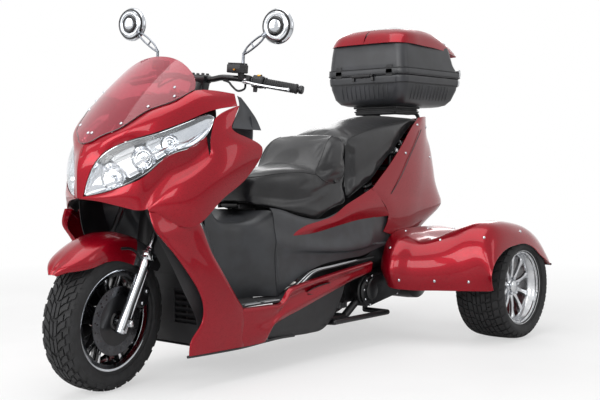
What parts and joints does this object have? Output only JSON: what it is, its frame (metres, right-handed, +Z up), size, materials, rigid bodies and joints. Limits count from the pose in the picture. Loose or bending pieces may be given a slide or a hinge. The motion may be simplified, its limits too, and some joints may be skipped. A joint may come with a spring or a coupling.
{
  "type": "motor trike",
  "caption": "Three-wheeled motor scooter with a steered front wheel, wide rear fender body, stepped seat, windshield and rear top box.",
  "frame": {"origin": "on the ground, at the centre of the bounding box's footprint", "axes": "+Z up, -Y towards the front wheel, +X to the rider's left"},
  "size_m": [1.304, 2.2882, 1.3728],
  "materials": {
    "tyre": "matte rubber",
    "black_rim": "gloss black with a polished lip",
    "polished_rim": "polished",
    "brake_steel": "ground",
    "caliper_metal": "satin",
    "chrome_fork": "polished",
    "black_steel": "satin",
    "grip_rubber": "matte",
    "black_plastic": "textured",
    "grey_plastic": "textured",
    "chrome_mirror": "polished",
    "red_paint": "metallic red under clear coat",
    "lens": "clear",
    "smoked_screen": "tinted",
    "frame_steel": "satin",
    "rubber_mat": "ribbed",
    "cast_aluminium": "cast",
    "shock_metal": "satin",
    "exhaust_steel": "satin",
    "red_lens": "clear red",
    "seat_vinyl": "grained vinyl",
    "box_plastic": "textured",
    "box_lid": "black with a red band"
  },
  "bodies": {
    "chassis": {"belly_pan": "black_plastic", "centre_tunnel": "grey_plastic", "engine_block": "cast_aluminium", "exhaust": "exhaust_steel", "footboards": "rubber_mat", "headlights": "lens", "inner_leg_shield": "grey_plastic", "instrument_panel": "black_plastic", "left_front_cowl": "red_paint", "left_rear_fender": "red_paint", "leg_panels": "red_paint", "luggage_rack": "frame_steel", "main_frame": "frame_steel", "nose_cowl": "red_paint", "passenger_seat": "seat_vinyl", "rear_axle": "black_steel", "rear_shocks": "shock_metal", "right_front_cowl": "red_paint", "right_rear_fender": "red_paint", "side_panels": "grey_plastic", "sills": "red_paint", "step_bars": "frame_steel", "storage_bin": "black_plastic", "tail_cowl": "red_paint", "tail_light": "red_lens", "top_box_base": "box_plastic", "wheel_well": "black_plastic", "windshield": "smoked_screen"},
    "steering": {"fork_legs": "chrome_fork", "fork_yoke": "black_steel", "handlebar": "black_steel", "handlebar_grips": "grip_rubber", "handlebar_controls": "black_plastic", "mirrors": "chrome_mirror", "front_fender": "red_paint", "brake_calipers": "caliper_metal"},
    "front_wheel": {"front_tyre": "tyre", "front_rim": "black_rim", "front_brake_discs": "brake_steel"},
    "left_rear_wheel": {"left_rear_tyre": "tyre", "left_rear_rim": "polished_rim"},
    "right_rear_wheel": {"right_rear_tyre": "tyre", "right_rear_rim": "polished_rim"},
    "seat": {"rider_seat": "seat_vinyl"},
    "box_lid": {"top_box_lid": "box_lid"}
  },
  "joints": [
    {"name": "steering_turn", "type": "hinge", "parent": "chassis", "child": "steering", "pos_m": [0, -0.86731, 0.22711], "axis": [0, 0.454, 0.891], "range_deg": [-45, 25]},
    {"name": "front_wheel_spin", "type": "hinge", "parent": "steering", "child": "front_wheel", "pos_m": [0.00608, -0.89803, 0.24276], "axis": [0.9848, 0.1547, -0.0788], "continuous": true},
    {"name": "left_rear_wheel_spin", "type": "hinge", "parent": "chassis", "child": "left_rear_wheel", "pos_m": [0.524, 0.8685, 0.223], "axis": [1, 0, 0], "continuous": true},
    {"name": "right_rear_wheel_spin", "type": "hinge", "parent": "chassis", "child": "right_rear_wheel", "pos_m": [-0.524, 0.8685, 0.223], "axis": [1, 0, 0], "continuous": true},
    {"name": "seat_open", "type": "hinge", "parent": "chassis", "child": "seat", "pos_m": [0, -0.2835, 0.6], "axis": [1, 0, 0], "range_deg": [0, 45]},
    {"name": "box_lid_open", "type": "hinge", "parent": "chassis", "child": "box_lid", "pos_m": [0, 0.5565, 1.14], "axis": [1, 0, 0], "range_deg": [0, 70]}
  ]
}
